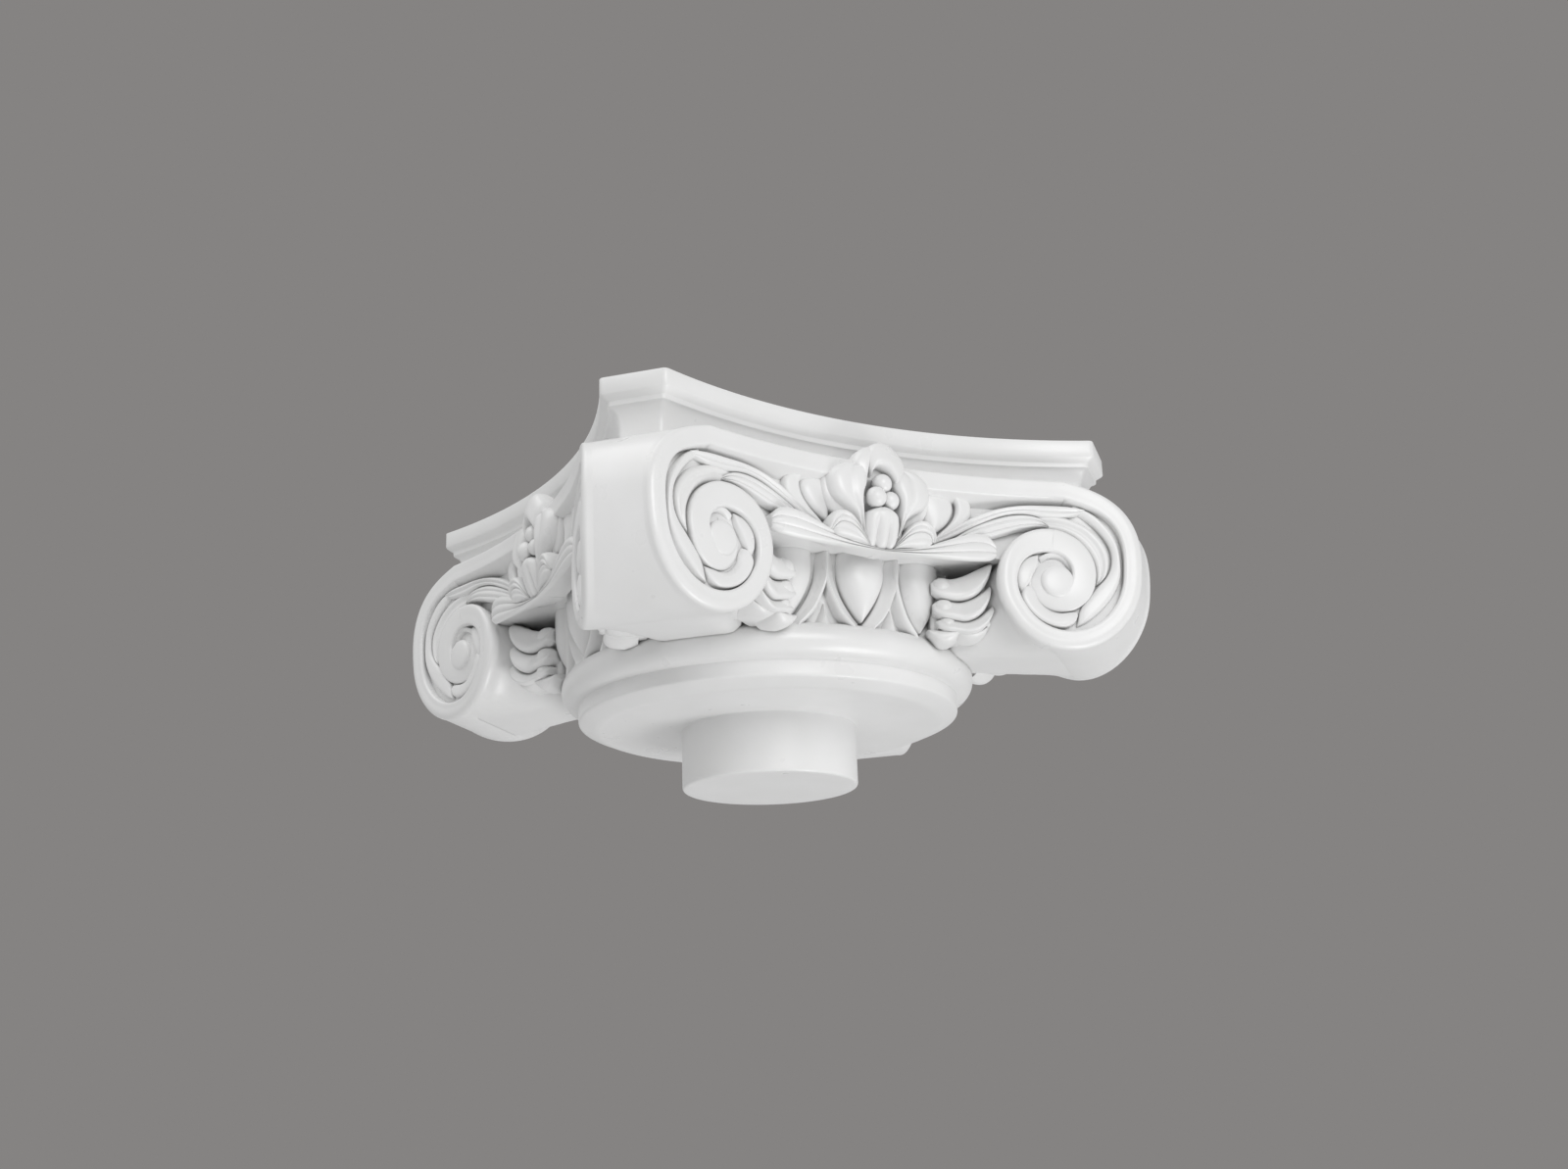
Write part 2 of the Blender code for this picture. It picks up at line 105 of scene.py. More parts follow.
# %% Soft lights
CENTRE = Vector((0.0, 0.0, 0.10))


def soft_light(name, where, size, watts):
    """A square area light that looks at the capital."""
    made = bpy.data.objects.new(name, bpy.data.lights.new(name, "AREA"))
    made.data.size = size
    made.data.energy = watts
    made.location = where
    made.rotation_euler = (CENTRE - Vector(where)).to_track_quat("-Z", "Y").to_euler()
    bpy.context.scene.collection.objects.link(made)
    return made


soft_light("front light", (-0.19, -1.53, 0.51), 0.7, 7.0)
soft_light("low light", (0.56, -0.86, -1.12), 0.7, 8.0)
soft_light("top light", (-0.92, -0.05, 1.41), 1.4, 8.0)

# %% Floor, far below the capital and out of the picture
FLOOR_SIZE = 6.0
FLOOR_HEIGHT = -1.30
FLOOR_PAINT = (0.88, 0.88, 0.88, 1.0)
bpy.ops.mesh.primitive_plane_add(size=FLOOR_SIZE, location=(0, 0, FLOOR_HEIGHT))
floor = bpy.context.object
floor.name = "floor"
floor_paint = bpy.data.materials.new("floor paint")
floor_paint.use_nodes = True
floor_paint.node_tree.nodes["Principled BSDF"].inputs["Base Color"].default_value = FLOOR_PAINT
floor.data.materials.append(floor_paint)
print("floor", FLOOR_SIZE, "m wide, at", FLOOR_HEIGHT, "m")

# %% [markdown]
# ## How the surfaces are made
#
# Every surface starts as one of Blender's grids, a flat sheet of square cells. Its rows are
# laid on a list of sections, each a ring of points, as a potter rolls a slab of clay into a
# tube. Merging the points of the seam closes the tube and filling the two ends makes it a
# solid. A sculpting brush could do the same by hand, but sections worked out from measures
# keep every leaf alike on all four faces.

# %% A grid rolled onto a list of sections
MM = 0.001
MERGE = 0.000001


def clay(name, rings):
    """A closed solid whose sections are rings of equally many points."""
    rows, columns = len(rings) - 1, len(rings[0])
    bpy.ops.object.select_all(action="DESELECT")
    bpy.ops.mesh.primitive_grid_add(x_subdivisions=columns, y_subdivisions=rows, size=2)
    made = bpy.context.object
    made.name = made.data.name = name
    for vertex in made.data.vertices:
        row = round((vertex.co.y + 1) / 2 * rows)
        column = round((vertex.co.x + 1) / 2 * columns) % columns
        vertex.co = rings[row][column]
    bpy.ops.object.mode_set(mode="EDIT")
    bpy.ops.mesh.select_all(action="SELECT")
    bpy.ops.mesh.remove_doubles(threshold=MERGE)
    bpy.ops.mesh.fill_holes(sides=0)
    bpy.ops.mesh.normals_make_consistent(inside=False)
    bpy.ops.object.mode_set(mode="OBJECT")
    return made


def joined(name, pieces):
    """Many solids as one object, each with its own surface."""
    bpy.ops.object.select_all(action="DESELECT")
    for piece in pieces:
        piece.select_set(True)
    bpy.context.view_layer.objects.active = pieces[0]
    bpy.ops.object.join()
    pieces[0].name = pieces[0].data.name = name
    print(name, len(pieces[0].data.polygons), "faces")
    return pieces[0]


print("seam closes within", MERGE, "m")

# %% [markdown]
# The carving lies on a hollow wall, so it is drawn flat and wrapped. A place is given as
# (along, height, proud) in millimetres: how far from the face's middle, how high above the
# spigot's end, and how far in front of the face. The eggs lie round the neck instead, and
# the palmettes on a slanting wall between the last egg and the volute.

# %% Three walls to wrap the carving onto
FACE_MID = 129.0
FACE_RADIUS = 330.0
NECK_CORE = 98.5
PALMETTE_START = (42.0, -108.0)
PALMETTE_SLANT = radians(23.2)


def on_face(along, height, proud):
    angle = along / FACE_RADIUS
    reach = FACE_RADIUS - proud
    return MM * Vector((reach * sin(angle), reach * cos(angle) - FACE_MID - FACE_RADIUS, height))


def on_neck(along, height, proud):
    angle = along / NECK_CORE
    reach = NECK_CORE + proud
    return MM * Vector((reach * sin(angle), -reach * cos(angle), height))


def on_palmette(across, height, proud):
    x = PALMETTE_START[0] + across * cos(PALMETTE_SLANT) - proud * sin(PALMETTE_SLANT)
    y = PALMETTE_START[1] - across * sin(PALMETTE_SLANT) - proud * cos(PALMETTE_SLANT)
    return MM * Vector((x, y, height))


print("middle of the face", [round(1000 * v, 1) for v in on_face(0, 0, 0)], "mm")

# %% A smooth line through given points
def through(points, share):
    """The place at a share of the way along a smooth line through the points."""
    last = len(points) - 1
    spot = min(max(share, 0.0), 1.0) * last
    i = min(int(spot), last - 1)
    f = spot - i
    nearby = [points[max(i - 1, 0)], points[i], points[i + 1], points[min(i + 2, last)]]
    if not isinstance(points[0], tuple):
        nearby = [(value,) for value in nearby]
    found = tuple(0.5 * (2 * b + (c - a) * f + (2 * a - 5 * b + 4 * c - d) * f ** 2
                         + (3 * b - a - 3 * c + d) * f ** 3)
                  for a, b, c, d in zip(*nearby))
    return found if len(found) > 1 else found[0]


print("half way from 0 over 2 to 3:", through([0, 2, 3], 0.5))

# %% [markdown]
# ## Turned part
#
# The spigot, the seat, the neck band, the torus and the echinus are all round. A lathe turns
# them in one go: here one disc is extruded upwards and scaled, ring after ring, along the
# half section. Small arcs in the section round the edges, as a cast edge is.

# %% Half section of the turned part
SPIGOT_RADIUS = 46.0
SEAT_HEIGHT = 31.5
SEAT_RADIUS = 91.7
NECK_RADIUS = 100.0
NECK_BOTTOM = 35.8
TORUS_BOTTOM = 43.6
TORUS_TOP = 61.6
TORUS_BULGE = 8.9
ECHINUS_TOP = 97.0
ECHINUS_TOP_RADIUS = 104.0


def arc(centre, radii, start, end, steps):
    """Points on a quarter or half ellipse, as (radius, height)."""
    return [(centre[0] + radii[0] * cos(radians(start + (end - start) * i / steps)),
             centre[1] + radii[1] * sin(radians(start + (end - start) * i / steps)))
            for i in range(steps + 1)]


section = [(SPIGOT_RADIUS - 6, 0.0)]
section += arc((SPIGOT_RADIUS - 1.5, 1.5), (1.5, 1.5), -90, 0, 5)
section += arc((SPIGOT_RADIUS + 0.8, SEAT_HEIGHT - 0.8), (0.8, 0.8), 180, 90, 3)
section += [(SEAT_RADIUS - 3, SEAT_HEIGHT), (SEAT_RADIUS - 1.2, SEAT_HEIGHT + 0.15),
            (SEAT_RADIUS + 0.6, SEAT_HEIGHT + 0.8), (NECK_RADIUS - 1.8, NECK_BOTTOM - 1.0)]
section += arc((NECK_RADIUS - 1.2, NECK_BOTTOM + 0.9), (1.2, 1.4), -60, 0, 4)
section += [(NECK_RADIUS, TORUS_BOTTOM - 0.8), (NECK_RADIUS + 0.2, TORUS_BOTTOM - 0.2)]
torus_middle = (TORUS_BOTTOM + TORUS_TOP) / 2
section += arc((NECK_RADIUS, torus_middle), (TORUS_BULGE, TORUS_TOP - torus_middle), -84, 84, 22)
section += [(NECK_CORE, TORUS_TOP + 0.3), (NECK_CORE, TORUS_TOP + 4), (ECHINUS_TOP_RADIUS, ECHINUS_TOP)]
print("section points", len(section))

# %% One disc extruded and scaled along the section
AROUND = 160
bpy.ops.object.select_all(action="DESELECT")
bpy.ops.mesh.primitive_circle_add(vertices=AROUND, radius=MM * section[0][0], fill_type="NGON")
turned = bpy.context.object
turned.name = turned.data.name = "turned_part"
bpy.ops.object.mode_set(mode="EDIT")
bpy.ops.mesh.select_all(action="SELECT")
for (radius, height), (next_radius, next_height) in zip(section, section[1:]):
    bpy.ops.mesh.extrude_region_move(
        TRANSFORM_OT_translate={"value": (0, 0, MM * (next_height - height))})
    grow = next_radius / radius
    bpy.ops.transform.resize(value=(grow, grow, 1), center_override=(0, 0, MM * next_height))
bpy.ops.mesh.select_all(action="SELECT")
bpy.ops.mesh.normals_make_consistent(inside=False)
bpy.ops.object.mode_set(mode="OBJECT")
print("turned part", [round(1000 * v, 1) for v in turned.dimensions], "mm")

# %% [markdown]
# ## Abacus
#
# The top plate has four hollow sides and cut corners. Its outline is drawn once, and every
# moulding under it, the fascia, the soffit, the small fillet and the hollow cavetto, is that
# outline stepped in. Stepping the hollow arcs in by a bigger radius keeps them parallel. A
# plain box cut by four cylinders would give the outline, but not mouldings that follow it.
# Under the cavetto a skirt goes on down into the corner blocks, so that no slit shows there.

# %% Outline with four hollow sides
ABACUS_TOP = 161.4
ABACUS_MID = 117.3
ABACUS_CORNER = 184.8
ABACUS_CORNER_WIDTH = 33.2
FASCIA_HEIGHT = 8.0
ARRIS_REACH = 2.0


def rounded_off(ring, side_points):
    """Rounds the ring at the first and last point of each hollow side."""
    soft = []
    for i, place in enumerate(ring):
        if i % side_points not in (0, side_points - 1):
            soft.append(place)
            continue
        before = (ring[i - 1] - place).normalized() * ARRIS_REACH * MM
        after = (ring[(i + 1) % len(ring)] - place).normalized() * ARRIS_REACH * MM
        soft += [place + before * (1 - t) ** 2 + after * t ** 2 for t in (0, 0.25, 0.5, 0.75, 1)]
    return soft


def hollow_outline(mid, radius, corner, steps, height):
    """Four hollow sides and four cut corners, anticlockwise from the -Y side."""
    centre = mid + radius
    reach = pi / 4 + asin((corner * sqrt(2) - centre) / (radius * sqrt(2)))
    ring = []
    for quarter in range(4):
        facing = Matrix.Rotation(quarter * pi / 2, 3, "Z")
        for i in range(steps + 1):
            angle = reach * (2 * i / steps - 1)
            ring.append(facing @ Vector((radius * sin(angle) * MM,
                                         (radius * cos(angle) - centre) * MM, height * MM)))
    return rounded_off(ring, steps + 1)


half = ABACUS_CORNER_WIDTH / 2
arris = (ABACUS_CORNER - half) / sqrt(2)
rise = (ABACUS_CORNER + half) / sqrt(2) - ABACUS_MID
ABACUS_RADIUS = (arris ** 2 + rise ** 2) / (2 * rise)
print("abacus side radius", round(ABACUS_RADIUS, 1), "mm")

# %% Mouldings of the abacus
SIDE_STEPS = 36
FILLET_INSET = 3.6
CAVETTO_INSET = 5.2
CAVETTO_DROP = 12.0
CAVETTO_STEPS = 8
SKIRT_DROP = 6.0
ARRIS_WIDTH = 0.9
ARRIS_ANGLE = radians(38)
levels = [(0.0, 0.0), (0.0, FASCIA_HEIGHT), (0.5, FASCIA_HEIGHT + 0.9), (3.4, FASCIA_HEIGHT + 3.0),
          (FILLET_INSET, FASCIA_HEIGHT + 5.0)]
levels += [(FILLET_INSET + CAVETTO_INSET * sin(pi / 2 * i / CAVETTO_STEPS),
            FASCIA_HEIGHT + 5.3 + CAVETTO_DROP * (1 - cos(pi / 2 * i / CAVETTO_STEPS)))
           for i in range(CAVETTO_STEPS + 1)]
lowest_inset, lowest_drop = levels[-1]
levels.append((lowest_inset, lowest_drop + SKIRT_DROP))
abacus = clay("abacus", [hollow_outline(ABACUS_MID - inset, ABACUS_RADIUS + inset,
                                        ABACUS_CORNER - inset, SIDE_STEPS, ABACUS_TOP - drop)
                         for inset, drop in levels])
rounded = abacus.modifiers.new("soft arrises", "BEVEL")
rounded.width = ARRIS_WIDTH * MM
rounded.segments = 3
rounded.limit_method = "ANGLE"
rounded.angle_limit = ARRIS_ANGLE
bpy.ops.object.select_all(action="DESELECT")
abacus.select_set(True)
bpy.context.view_layer.objects.active = abacus
bpy.ops.object.modifier_apply(modifier=rounded.name)
print("abacus", [round(1000 * v, 1) for v in abacus.dimensions], "mm")

# %% [markdown]
# ## Body behind the carving
#
# Behind the leaves and the flower the capital is a plain hollow-sided block, set back nine
# millimetres from the face. It is what the carving grows out of, and it is seen only in the
# gaps between the leaves. It starts at the eggs' tops, so that they stand free under the
# leaves, and it reuses the outline of the abacus, because the faces are hollow in the same way.

# %% Ground behind the leaves
GROUND = -9.0
GROUND_CORNER = 156.0
GROUND_BOTTOM = 96.0
GROUND_TOP = 137.0
GROUND_STEPS = 32
ground = clay("ground", [hollow_outline(FACE_MID + GROUND, FACE_RADIUS - GROUND, GROUND_CORNER,
                                        GROUND_STEPS, height)
                         for height in (GROUND_BOTTOM, GROUND_TOP)])
print("ground", [round(1000 * v, 1) for v in ground.dimensions], "mm")

# %% [markdown]
# ## Volutes and corner blocks
#
# A volute is a band that leaves the top of the face and winds inwards. Each turn is 0.45 of
# the one before, which gives a logarithmic spiral: its distance from the eye shrinks by the
# same share for every equal step of turning. The shoulder is a little fuller than that. A
# curve with a bevel could carry the band, but here its section changes as it winds, so each
# section is laid on its own. At a corner the two volutes share one block: straight lines run
# across from rim to rim, and under it the block is swept back to the neck.

# %% The spiral
EYE_ALONG = 92.5
EYE_HEIGHT = 84.0
VOLUTE_REACH = 43.5
TURN_SHRINK = 0.45
SHOULDER_FULLNESS = 0.08
SECOND_FULLNESS = 0.10
PITCH = -log(TURN_SHRINK) / (2 * pi)
TOP_TURN = -pi / 2 + atan2(PITCH, 1)
BOTTOM_TURN = TOP_TURN + pi
LEVEL_RUN = 60.0
TURN_STEP = 0.004


def spiral(turn):
    """Distance of the band's outer edge from the eye."""
    fullness = SHOULDER_FULLNESS * sin(pi * turn / TOP_TURN) ** 2 if turn < 0 else 0.0
    if 0.8 * pi < turn < 2.0 * pi:
        fullness = SECOND_FULLNESS * sin(pi * (turn - 0.8 * pi) / (1.2 * pi))
    return VOLUTE_REACH * TURN_SHRINK ** (turn / (2 * pi)) * (1 + fullness)


def spiral_spot(turn):
    return EYE_ALONG + spiral(turn) * cos(turn), EYE_HEIGHT - spiral(turn) * sin(turn)


def rim(turn, inward):
    """A place on the band, measured square to its outer edge. Before the top it runs level."""
    if turn <= TOP_TURN:
        along, height = spiral_spot(TOP_TURN)
        return along + (turn - TOP_TURN) * LEVEL_RUN, height - inward
    ahead, behind = spiral_spot(turn + TURN_STEP), spiral_spot(turn - TURN_STEP)
    if turn - TURN_STEP < TOP_TURN:
        behind = spiral_spot(turn)
    run = hypot(ahead[0] - behind[0], ahead[1] - behind[1])
    square = ((ahead[1] - behind[1]) / run, (behind[0] - ahead[0]) / run)
    along, height = spiral_spot(turn)
    return along + square[0] * inward, height + square[1] * inward


TOP_ALONG, TOP_HEIGHT = spiral_spot(TOP_TURN)
print("band top", round(TOP_HEIGHT, 1), "lowest", round(spiral_spot(BOTTOM_TURN)[1], 1), "mm")

# %% Section of the rim, from the channel over the band to the block's side
CHANNEL = -4.8
EDGE_SOFT = 1.3
LIP = 1.4
BAND_WIDTH = 9.6
BAND_GAIN = 2.6
BAND_LOSS = 4.0


def smooth_step(value):
    value = min(max(value, 0.0), 1.0)
    return value * value * (3 - 2 * value)


def band_width(turn):
    wide = smooth_step((turn - 1.0 * pi) / (0.5 * pi))
    return BAND_WIDTH + BAND_GAIN * wide - BAND_LOSS * smooth_step((turn - 2.0 * pi) / pi)


def rim_section(turn):
    """(inward, proud) from the channel's floor to the block's side."""
    width = band_width(turn)
    level = 1 - smooth_step((turn - TOP_TURN) / 0.7)
    soft = (EDGE_SOFT + 3.0 * smooth_step((turn - TOP_TURN - 0.1) / 0.9)
            - 2.2 * smooth_step((turn - pi) / 0.8))
    foot = GROUND - 1.0 if turn < TOP_TURN + 0.8 else CHANNEL - 2.0
    points = [(width + 5.0 * level, foot), (width + 2.0 * level, -5.0), (width + 0.3 * level, -1.6)]
    points += [(width - LIP + LIP * cos(radians(a)), -LIP + LIP * sin(radians(a)))
               for a in (20, 45, 70, 90)]
    points += [(soft + (width - LIP - soft) * share, -0.25 * sin(pi * share)) for share in (0.66, 0.33)]
    points += [(soft - soft * sin(radians(a)), -soft * 0.75 * (1 - cos(radians(a))))
               for a in (0, 18, 36, 54, 72, 90)]
    points.append((0.0, -soft * 0.75 - 2.0))
    return points


print("rim section points", len(rim_section(0.0)))

# %% Places under the block, swept back to the neck
SWEEP_INNER = 101.0
SWEEP_HEIGHT = 56.0
SWEEP_HALF = 17.0
STRAIGHT_HALF = 42.0
SWEEP_TAIL = 22.0


def mirror_in_corner(place):
    """The same place on the neighbouring face, seen in the corner's diagonal."""
    return Vector((-place.y, -place.x, place.z))


def swept(turn, place):
    """Pulls the middle of the block's underside back to the neck, beyond its lowest point."""
    if turn <= BOTTOM_TURN:
        return place
    reach, across = (place.x - place.y) / sqrt(2) / MM, (place.x + place.y) / sqrt(2) / MM
    low_along, low_height = spiral_spot(BOTTOM_TURN)
    low = on_face(low_along, low_height, 0)
    low_reach = (low.x - low.y) / sqrt(2) / MM
    share = (turn - BOTTOM_TURN) / (pi - BOTTOM_TURN)
    middle_reach = low_reach + (SWEEP_INNER - low_reach) * min(share, 1.0)
    middle_height = low_height + (SWEEP_HEIGHT - low_height) * min(share, 1.0) ** 1.5
    middle_height += SWEEP_TAIL * max(0.0, share - 1.0)
    pull = smooth_step((STRAIGHT_HALF - abs(across)) / (STRAIGHT_HALF - SWEEP_HALF))
    reach += (middle_reach - reach) * pull
    height = place.z / MM + (middle_height - place.z / MM) * pull
    return MM * Vector(((reach + across) / sqrt(2), (across - reach) / sqrt(2), height))


print("sweep ends", SWEEP_HEIGHT, "mm up")

# %% Rim and block of one corner
ACROSS_STEPS = 30
LEVEL_STEPS = 10
BLOCK_STEPS = 110
TAIL_TURN = 1.5 * pi
BLOCK_BACK = -14.0
RIM_CORE = 6.0


def corner_ring(turn):
    near = [on_face(*rim(turn, inward), proud) for inward, proud in rim_section(turn)]
    far = [mirror_in_corner(place) for place in reversed(near)]
    skin = [swept(turn, near[-1].lerp(far[0], i / ACROSS_STEPS)) for i in range(1, ACROSS_STEPS)]
    inner = on_face(*rim(turn, RIM_CORE), BLOCK_BACK)
    back = [inner, mirror_in_corner(inner)]
    return near + skin + far + [back[1].lerp(back[0], share) for share in (0.1, 0.9)]


turns = [TOP_TURN - TOP_ALONG / LEVEL_RUN * (1 - i / LEVEL_STEPS) for i in range(LEVEL_STEPS)]
turns += [TOP_TURN + (TAIL_TURN - TOP_TURN) * i / BLOCK_STEPS for i in range(BLOCK_STEPS + 1)]
block = clay("corner_block", [corner_ring(turn) for turn in turns])
print("corner block", [round(1000 * v, 1) for v in block.dimensions], "mm")

# %% Copies by turning and by mirroring
def turned_copy(piece, quarter):
    """A copy with its own mesh, turned about the capital's axis."""
    made = piece.copy()
    made.data = piece.data.copy()
    made.data.transform(Matrix.Rotation(quarter * pi / 2, 4, "Z"))
    bpy.context.scene.collection.objects.link(made)
    return made


def mirrored_copy(piece):
    """A copy for the other half of the face, turned right side out again."""
    made = piece.copy()
    made.data = piece.data.copy()
    made.data.transform(Matrix.Scale(-1, 4, (1, 0, 0)))
    made.data.flip_normals()
    bpy.context.scene.collection.objects.link(made)
    return made


def all_faces(name, halves=(), wholes=()):
    """Mirrors what is carved on half a face, and turns all of it onto the other faces."""
    one_face = list(halves) + [mirrored_copy(piece) for piece in halves] + list(wholes)
    return joined(name, one_face + [turned_copy(piece, quarter) for piece in one_face
                                    for quarter in (1, 2, 3)])


volute_blocks = joined("volute_blocks", [block] + [turned_copy(block, quarter)
                                                   for quarter in (1, 2, 3)])

# %% Inner turn of the band, out of the block and down to the eye
LAST_TURN = 3.5 * pi
BAND_FOOT = -10.5
OUTER_SINK = 4.6
INNER_SINK = 3.2
INNER_STEPS = 100
OVERLAP = 0.02


def inner_ring(turn):
    """Section of the band inside the volute. Its outer edge sinks first, then all of it."""
    width = band_width(turn)
    outer_sink = OUTER_SINK * smooth_step((turn - 2.0 * pi) / (0.8 * pi))
    inner_sink = INNER_SINK * smooth_step((turn - 2.5 * pi) / (1.0 * pi))
    soft = EDGE_SOFT
    inner_edge = [(width - soft + soft * cos(radians(a)), soft * sin(radians(a)) - soft - inner_sink)
                  for a in (0, 25, 50, 75, 90)]
    outer_edge = [(soft - soft * cos(radians(a)), soft * sin(radians(a)) - soft - outer_sink)
                  for a in (90, 65, 40, 15, 0)]
    section = [(width, BAND_FOOT)] + inner_edge + outer_edge + [(0.0, BAND_FOOT)]
    return [on_face(*rim(turn, inward), proud) for inward, proud in section]


inner_turns = [TAIL_TURN - OVERLAP + (LAST_TURN - TAIL_TURN) * i / INNER_STEPS
               for i in range(INNER_STEPS + 1)]
inner_band = clay("inner_band", [inner_ring(turn) for turn in inner_turns])
print("inner band", [round(1000 * v, 1) for v in inner_band.dimensions], "mm")

# %% Channel floor and the button at the eye
EYE_RADIUS = 8.4
EYE_DROP = 1.0
EYE_STEPS = 48
FLOOR_STEPS = 96


def floor_ring(share, depth):
    """Round the eye, out to under the band."""
    ring = []
    for i in range(FLOOR_STEPS):
        turn = TOP_TURN + 2 * pi * i / FLOOR_STEPS
        outer, second = spiral(turn), spiral(turn + 2 * pi)
        reach = ((second + (outer - second) * min(1, i / 3)) - 4.0) * share
        ring.append(on_face(EYE_ALONG + reach * cos(turn), EYE_HEIGHT - reach * sin(turn), depth))
    return ring


channel = clay("channel", [floor_ring(share, depth) for share, depth in (
    (0.02, CHANNEL), (0.5, CHANNEL), (1.0, CHANNEL), (1.0, BLOCK_BACK), (0.02, BLOCK_BACK))])
eye_profile = [(0.02, 0.7), (0.35, 0.6), (0.7, 0.3), (0.88, -0.1), (0.97, -0.7), (1.0, -1.6),
               (1.0, -8.0)]
eye = clay("eye", [[on_face(EYE_ALONG + EYE_RADIUS * share * cos(2 * pi * i / EYE_STEPS),
                            EYE_HEIGHT - EYE_DROP + EYE_RADIUS * share * sin(2 * pi * i / EYE_STEPS),
                            proud)
                    for i in range(EYE_STEPS)] for share, proud in eye_profile])
scrolls = all_faces("scrolls", [inner_band, channel, eye])

# %% [markdown]
# ## Leaves
#
# Every acanthus leaf here is a cushion between two edges. The edges are smooth lines through
# a few measured places, from the root to the tip. Across the leaf the height follows a
# squared-off arch, so that the sides stand up steeply and cast the thin dark lines that
# cast leaves have, and shallow flutes run along it to the tip. Sculpting each leaf would give
# more life, but one helper and a few places per leaf can be read, changed and repeated.

# %% One leaf between two edges
LEAF_THICK = 4.0
LEAF_ROWS = 36
LEAF_COLUMNS = 22


def leaf(name, upper, lower, crest, thick=LEAF_THICK, flutes=0, groove=0.0, fade=0.0, bow=3.4, lean=0.0,
         root=7.0, root_from=0.8, wall=on_face, rows=LEAF_ROWS, columns=LEAF_COLUMNS):
    """crest is how proud the leaf stands from root to tip, lean how much its upper edge is lifted.

    The flutes lose a share of their depth, fade, towards the tip. The root goes in under the
    leaf's edges, from the share root_from of its width."""
    rings = []
    for row in range(rows + 1):
        share = (1 - cos(pi * row / rows)) / 2
        a, b = through(upper, share), through(lower, share)
        top = through(crest, share)
        ends = (1 - abs(2 * share - 1) ** 9) ** (1 / 9)
        ring = []
        for k in range(columns):
            t = (1 - cos(pi * k / (columns - 1))) / 2
            dome = (1 - abs(2 * t - 1) ** bow) ** (1 / bow)
            height = top - thick + (thick + lean * (0.5 - t)) * ends * dome
            if flutes:
                depth = groove * (1 - fade * smooth_step((share - 0.35) / 0.45))
                height += depth * ends * dome * (abs(sin(pi * flutes * t)) ** 0.7 - 1)
            ring.append(wall(a[0] + (b[0] - a[0]) * t, a[1] + (b[1] - a[1]) * t, height))
        for t in (root_from, 0.2):
            ring.append(wall(a[0] + (b[0] - a[0]) * t, a[1] + (b[1] - a[1]) * t, top - thick - root))
        rings.append(ring)
    return clay(name, rings)


print("leaf", LEAF_ROWS, "by", LEAF_COLUMNS, "unless it says otherwise")

# %% Fronds in the volute's channel
fronds = [
    leaf("frond_inner", [(84, 119), (97, 118.4), (109, 113.6), (115.6, 107.8), (119.6, 100.8),
                         (120.2, 94), (118.5, 87.4), (115.2, 83.4), (112.6, 81.6)],
         [(84, 110), (94, 109.6), (102, 106.6), (108, 101), (111.6, 94), (112.4, 88.5), (112.2, 84),
          (112.0, 82.0), (112.0, 81.0)],
         [-3.4, -2.0, -1.6, -1.4, -1.6, -2.4], thick=4.4, flutes=2, groove=1.2, lean=1.6),
    leaf("frond_outer", [(104, 124), (113.5, 119), (120.5, 111), (124.6, 102.5), (125.6, 93),
                         (124.8, 84.5), (121, 76.5), (114.5, 69), (107, 63), (101.2, 60.2)],
         [(103, 120.5), (110.5, 115.5), (117, 108.2), (120.8, 101), (121.2, 93.5), (118.6, 87),
          (112.5, 80.5), (107, 74.5), (103.4, 69), (101.0, 60.8)],
         [-2.5, -1.2, -0.9, -1.0, -1.0, -1.0, -1.4, -2.6], thick=3.8, lean=1.2),
    leaf("frond_low", [(102, 65.5), (99.8, 61.8), (95, 59.4), (88.6, 59.8), (81.8, 62.8), (76.2, 68.2),
                       (73.2, 75), (75.6, 80.4)],
         [(102, 68.6), (98, 67.8), (93, 67.2), (88, 68), (84.6, 70.8), (82.2, 74), (81.2, 78),
          (79.2, 81.4)],
         [-2.4, -1.2, -1.0, -1.0, -1.1, -1.4, -2.0], thick=3.8, lean=1.2),
    leaf("frond_left", [(74.2, 76.5), (71.8, 82.5), (72.4, 89.6), (77, 95.4), (83.4, 97.6)],
         [(75.8, 79.0), (78.4, 82.6), (80.8, 87.0), (83.2, 91.4), (84.2, 96.8)],
         [-2.8, -1.6, -1.4, -1.8, -3.0], thick=3.6, lean=-1.4),
    leaf("frond_eye", [(83.8, 96.4), (89.5, 98.6), (95.2, 98.2), (99.6, 94.6), (101.0, 89.4)],
         [(85.6, 92.8), (90, 95.6), (94.6, 95.4), (97.8, 92.6), (100.0, 88.6)],
         [-3.6, -2.2, -2.0, -2.4, -3.6], thick=3.0, lean=1.0, rows=28, columns=16),
]
volute_fronds = all_faces("volute_fronds", fronds)

